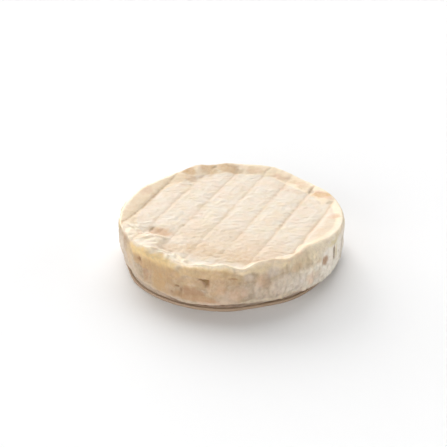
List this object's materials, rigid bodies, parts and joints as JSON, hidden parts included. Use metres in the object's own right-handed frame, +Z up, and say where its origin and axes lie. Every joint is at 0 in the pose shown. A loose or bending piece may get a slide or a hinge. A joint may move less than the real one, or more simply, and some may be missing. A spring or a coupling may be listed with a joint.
{
  "type": "cheese wheel",
  "caption": "Round soft-ripened cheese wheel with an uneven rim and mat lines pressed across its top, resting on a thin card disc.",
  "frame": {"origin": "on the surface the part stands on, under the middle of its outline", "axes": "+Z up through the wheel, +Y along the mat lines, +X across them"},
  "size_m": [0.132, 0.1304, 0.0293],
  "materials": {
    "rind": null,
    "card": "thin pale grey-brown card, slightly damp at the edge"
  },
  "bodies": {
    "root": {"cheese_wheel": "rind", "card_disc": "card"}
  },
  "joints": []
}
